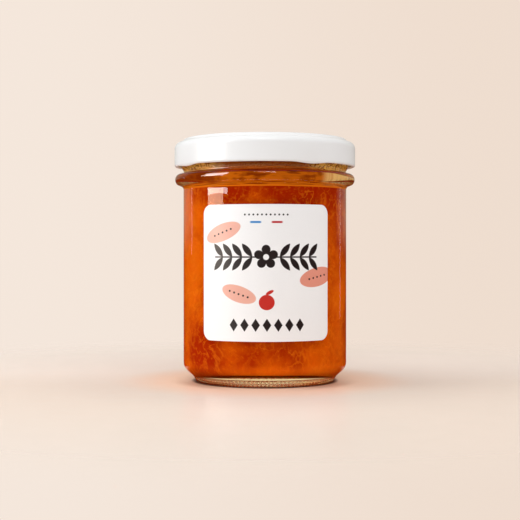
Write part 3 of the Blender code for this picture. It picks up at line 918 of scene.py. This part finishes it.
def blossom_mask(tree, along, up):
    """Round petals about an eye, in the middle of the garland."""
    angle = calc(tree, "ARCTAN2", up, along)
    squares = [calc(tree, "POWER", size, 2.0) for size in (along, up)]
    reach = calc(tree, "SQRT", calc(tree, "ADD", *squares))
    turn = calc(tree, "MULTIPLY_ADD", angle, PETALS / 2, -PETALS * math.pi / 4)
    petal = calc(tree, "POWER", calc(tree, "ABSOLUTE", calc(tree, "COSINE", turn)), PETAL_ROUNDING)
    edge = times(tree, calc(tree, "MULTIPLY_ADD", petal, 0.5, 0.5), BLOSSOM_RADIUS)
    ring = minus(tree, reach, edge)
    eye = minus(tree, EYE_SHARE * BLOSSOM_RADIUS, reach)
    return ease(tree, calc(tree, "MAXIMUM", ring, eye), -INK_EDGE, INK_EDGE, 1.0, 0.0)


PRINT_ROWS = [
    (INK_DARK, row_sizes((0.1, 25.7), (0.42, 0.42), pitch=1.9, each_side=5)),
    (INK_BLUE, row_sizes((-4.6, 22.4), (2.4, 0.46), power=BAR)),
    (INK_RED, row_sizes((4.9, 22.4), (2.4, 0.46), power=BAR)),
    (INK_ORANGE, row_sizes((0.3, -13.0), (3.5, 3.4))),
    (INK_ORANGE, row_sizes((1.6, -8.6), (1.9, 0.75), turn=28.0)),
    (INK_DARK, row_sizes((0.4, -23.0), (1.9, 2.9), pitch=5.0, each_side=3, power=LOZENGE)),
]
OVALS = (
    (INK_PINK, (-20.1, 17.9), (9.2, 3.75), 20.0),
    (INK_ROSE, (24.4, -1.9), (9.2, 4.2), 12.0),
    (INK_PINK, (-12.3, -9.35), (8.2, 3.6), -18.0),
)
for oval_ink, oval_centre, oval_half, oval_turn in OVALS:
    dots = row_sizes(oval_centre, (0.45, 0.45), turn=oval_turn, pitch=2.2, each_side=2)
    PRINT_ROWS += [(oval_ink, row_sizes(oval_centre, oval_half, turn=oval_turn)), (INK_DARK, dots)]


def label_paper():
    """Smooth paper, its fibres just felt, and inks that lie on it a little glossier."""
    material, tree, shader, surface = new_finish(
        "label_paper", {"Grain": 0.5, "Depth": 0.002, "Least roughness": 0.5, "Most roughness": 0.6},
    )
    uv = add(tree, "ShaderNodeUVMap", uv_map="UVMap").outputs[0]
    flat = add(tree, "ShaderNodeSeparateXYZ", {0: uv}).outputs
    along = times(tree, minus(tree, flat["X"], 0.5), LABEL_WIDTH / MM)
    up = times(tree, minus(tree, flat["Y"], 0.5), LABEL_HEIGHT / MM)
    fibre = noise_at(tree, object_place(tree)[0], FIBRE_SIZE, 4.0)
    colour = blend(tree, ease(tree, fibre, 0.4, 0.8, 0.0, 0.5), PAPER, PAPER_SHADE)
    garland_up = minus(tree, up, GARLAND_UP)
    masks = [(ink, printed(tree, printed_row, along, up, sizes)) for ink, sizes in PRINT_ROWS]
    masks += [
        (INK_DARK, printed(tree, printed_spray, along, garland_up, GARLAND)),
        (INK_DARK, blossom_mask(tree, along, garland_up)),
    ]
    inked = 0.0
    for ink, mask in masks:
        colour = blend(tree, mask, colour, ink)
        inked = calc(tree, "MAXIMUM", mask, inked)
    feed(tree, shader.inputs["Base Color"], colour)
    gloss = calc(tree, "MULTIPLY_ADD", inked, -INK_GLOSS, surface.outputs["Roughness"])
    feed(tree, shader.inputs["Roughness"], gloss)
    return material


label = build_piece("paper_label", label_tree(), {
    "Width": LABEL_WIDTH, "Height": LABEL_HEIGHT, "Corner": LABEL_CORNER, "Centre": LABEL_CENTRE,
    "Radius": BODY_RADIUS + GLUE, "Turn": LABEL_TURN, "Columns": LABEL_COLUMNS, "Rows": LABEL_ROWS,
    "Finish": label_paper(),
})
sheet = label.modifiers.new("paper", "SOLIDIFY")
sheet.thickness = PAPER_THICKNESS
sheet.offset = 1.0
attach(label, "root")
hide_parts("label")

# The table is a pale satin board that fades into the backdrop. It isn't part of the jar.
TABLE_RADIUS = 0.9
TABLE_DROP = 0.05 * MM
TABLE_FADE = (0.10, 0.27)
TABLE_LEFT = (0.86, 0.73, 0.63, 1.0)
TABLE_RIGHT = (0.84, 0.71, 0.61, 1.0)
TABLE_MIDDLE = (0.86, 0.745, 0.64, 1.0)
TABLE_FAR_LIT = (0.93, 0.785, 0.67, 1.0)
FAR_LIGHT_REACH = (0.05, 0.13)
SIDES = (-0.12, 0.12)
MIDDLE_ASIDE = (0.01, 0.07)
MIDDLE_FROM = (0.09, 0.18)
TABLE_BACK_LIT = (1.0, 0.86, 0.76, 1.0)
BACK_LIGHT_REACH = (-0.03, 0.05)
TABLE_GLOW = (0.98, 0.68, 0.51, 1.0)
GLOW_REACH = (42 * MM, 74 * MM)
TABLE_SHADE = (0.55, 0.28, 0.16, 1.0)
SHADE_REACH = (37 * MM, 46 * MM)
SHADE_ASIDE = (12 * MM, 28 * MM)
SHADE_BACK = (-20 * MM, 5 * MM)
TABLE_CONTACT_SHADOW = (0.09, 0.028, 0.008, 1.0)
CONTACT_SHADOW_REACH = (32.8 * MM, 35.2 * MM)
TABLE_MIRRORED = (0.28, 0.03, 0.003, 1.0)
MIRRORED_NEAR = (46 * MM, 66 * MM)
MIRRORED_BACK = (0.0, 20 * MM)


def pale_table():
    """Pale satin board with a painted warm glow near the jar for light through the jam, painted shade beside
    and under it, and painted light further out and behind. Away from the jar it fades out, so that it shows
    no edge, and the glass mirrors it as dark as the rest of the room's near side."""
    material, tree, shader, _ = new_finish(
        "pale_table", {"Grain": 1.5, "Depth": 0.004, "Least roughness": 0.36, "Most roughness": 0.42},
    )
    place, part = object_place(tree)
    away = vector(tree, "LENGTH", place)["Value"]
    aside = calc(tree, "ABSOLUTE", part["X"])
    colour = blend(tree, ease(tree, part["X"], *SIDES), TABLE_LEFT, TABLE_RIGHT)
    # Painted light: lighter further from the jar and behind it, where less light reaches.
    colour = blend(tree, ease(tree, away, *FAR_LIGHT_REACH), colour, TABLE_FAR_LIT)
    colour = blend(tree, ease(tree, part["Y"], *BACK_LIGHT_REACH), colour, TABLE_BACK_LIT)
    in_front = times(tree, ease(tree, aside, *MIDDLE_ASIDE, 1.0, 0.0), ease(tree, away, *MIDDLE_FROM))
    colour = blend(tree, in_front, colour, TABLE_MIDDLE)
    # Painted glow: warmer near the jar, for light through the jam.
    colour = blend(tree, ease(tree, away, *GLOW_REACH, 1.0, 0.0), colour, TABLE_GLOW)
    beside = times(tree, ease(tree, aside, *SHADE_ASIDE), ease(tree, away, *SHADE_REACH, 0.6, 0.0),
                   ease(tree, part["Y"], *SHADE_BACK, 1.0, 0.2))
    colour = blend(tree, beside, colour, TABLE_SHADE)
    # Painted shadow: dark right under the jar's foot.
    colour = blend(tree, ease(tree, away, *CONTACT_SHADOW_REACH, 1.0, 0.0), colour, TABLE_CONTACT_SHADOW)
    feed(tree, shader.inputs["Base Color"], colour)
    path = add(tree, "ShaderNodeLightPath").outputs
    mirrored = minus(tree, path["Is Glossy Ray"], path["Is Transmission Ray"])
    behind = times(tree, ease(tree, away, *MIRRORED_NEAR, 1.0, 0.0), ease(tree, part["Y"], *MIRRORED_BACK))
    mirrored = times(tree, mirrored, minus(tree, 1.0, behind))
    dark = add(tree, "ShaderNodeEmission", {"Color": TABLE_MIRRORED}).outputs[0]
    seen = mixed_shader(tree, mirrored, shader.outputs[0], dark)
    clear = add(tree, "ShaderNodeBsdfTransparent").outputs[0]
    faded = mixed_shader(tree, ease(tree, away, *TABLE_FADE), seen, clear)
    feed(tree, tree.nodes["Material Output"].inputs["Surface"], faded)
    return material


board = bmesh.new()
bmesh.ops.create_circle(board, cap_ends=True, segments=128, radius=TABLE_RADIUS)
board_mesh = bpy.data.meshes.new("table")
board.to_mesh(board_mesh)
board.free()
board_mesh.materials.append(pale_table())
table = bpy.data.objects.new("table", board_mesh)
table.location.z = -TABLE_DROP
bpy.context.scene.collection.objects.link(table)

# The studio: weak warm light all round, a tall soft box on the left, a broad one above the front and one
# overhead. The glass mirrors a dark room, but for the left box, two thin strips and a glow behind.
BACKDROP_LEFT = (0.910, 0.799, 0.712, 1.0)
BACKDROP_RIGHT = (0.860, 0.725, 0.624, 1.0)
ROOM_LIGHT = (0.67, 0.67, 0.68, 1.0)
ROOM_BEHIND = (0.35, 0.30, 0.22, 1.0)
ROOM_SHADE = (0.20, 0.030, 0.004, 1.0)
BACKDROP_TURN = (-0.22, 0.22)
SHADE_TOP = (-0.01, 0.03)
BEHIND_FROM = (0.45, 0.60)
THROUGH_FROM = (0.10, 0.60)
JAR_MIDDLE = 0.055
WHITE = (1.0, 1.0, 1.0)


def light_the_room():
    """The world: the backdrop past the table, weak light all round, and what the glass mirrors or shows."""
    world = bpy.data.worlds.new("studio")
    world.use_nodes = True
    tree = world.node_tree
    way = add(tree, "ShaderNodeTexCoord").outputs["Generated"]
    part = add(tree, "ShaderNodeSeparateXYZ", {0: way}).outputs
    backdrop = blend(tree, ease(tree, part["X"], *BACKDROP_TURN), BACKDROP_LEFT, BACKDROP_RIGHT)
    behind = times(tree, ease(tree, part["Z"], *SHADE_TOP), ease(tree, part["Y"], *BEHIND_FROM))
    mirrored = blend(tree, behind, ROOM_SHADE, ROOM_BEHIND)
    through = blend(tree, ease(tree, part["Y"], *THROUGH_FROM), ROOM_SHADE, backdrop)
    path = add(tree, "ShaderNodeLightPath").outputs
    room = blend(tree, path["Is Glossy Ray"], ROOM_LIGHT, mirrored)
    room = blend(tree, path["Is Transmission Ray"], room, through)
    room = blend(tree, path["Is Camera Ray"], room, backdrop)
    feed(tree, tree.nodes["Background"].inputs["Color"], room)
    bpy.context.scene.world = world


def soft_box(name, turn, rise, distance, size, radiance, colour=WHITE, mirrored=True, lights=True):
    """An area light that faces the jar. It stands turned so many degrees from the camera's side towards
    +X and raised so many, that far away and that large, in metres."""
    lamp = bpy.data.lights.new(name, "AREA")
    lamp.shape = "RECTANGLE"
    lamp.size, lamp.size_y = size
    lamp.energy = radiance * math.pi * size[0] * size[1]
    lamp.color = colour
    box = bpy.data.objects.new(name, lamp)
    turn = math.radians(turn)
    rise = math.radians(rise)
    level = distance * math.cos(rise)
    height = JAR_MIDDLE + distance * math.sin(rise)
    box.location = (level * math.sin(turn), -level * math.cos(turn), height)
    box.rotation_euler = (math.pi / 2 - rise, 0.0, turn)
    box.visible_camera = False
    box.visible_glossy = mirrored
    box.visible_diffuse = lights
    bpy.context.scene.collection.objects.link(box)


light_the_room()
soft_box("key_box", -78.0, 19.0, 0.70, (0.33, 0.47), 3.85, (0.885, 0.955, 1.0), mirrored=False)
soft_box("key_in_glass", -71.5, 12.0, 0.72, (0.33, 0.22), 7.5, (1.0, 0.75, 0.50), lights=False)
soft_box("key_window", -68.4, 7.8, 0.69, (0.40, 0.060), 8.5, (1.0, 0.97, 0.90), lights=False)
soft_box("key_lamp", -66.0, 27.0, 0.68, (0.34, 0.42), 11.0, lights=False)
soft_box("front_box", 15.0, 50.0, 0.95, (0.90, 0.60), 1.42, mirrored=False)
soft_box("top_box", 0.0, 89.0, 1.00, (1.00, 1.00), 0.80, mirrored=False)
soft_box("front_window", 0.0, 54.0, 0.80, (0.30, 0.06), 14.0, lights=False)
soft_box("left_edge_strip", -121.5, 4.5, 0.60, (0.014, 0.090), 1.2, lights=False)
soft_box("right_edge_strip", 128.0, 1.5, 0.60, (0.014, 0.150), 1.2, lights=False)

# The camera stands level with the upper body, as for the photograph, and looks down very slightly.
CAMERA_PLACE = (-2.3 * MM, -546.0 * MM, 61.4 * MM)
CAMERA_DOWN_DEG = 0.496
LENS = 80.0

camera_data = bpy.data.cameras.new("camera")
camera_data.lens = LENS
camera = bpy.data.objects.new("camera", camera_data)
camera.location = CAMERA_PLACE
camera.rotation_euler = (math.radians(90 - CAMERA_DOWN_DEG), 0.0, 0.0)
bpy.context.scene.collection.objects.link(camera)
bpy.context.scene.camera = camera
bpy.context.scene.view_settings.view_transform = "Standard"
bpy.context.scene.cycles.max_bounces = 24
bpy.context.scene.cycles.transmission_bounces = 24
bpy.context.scene.cycles.glossy_bounces = 16
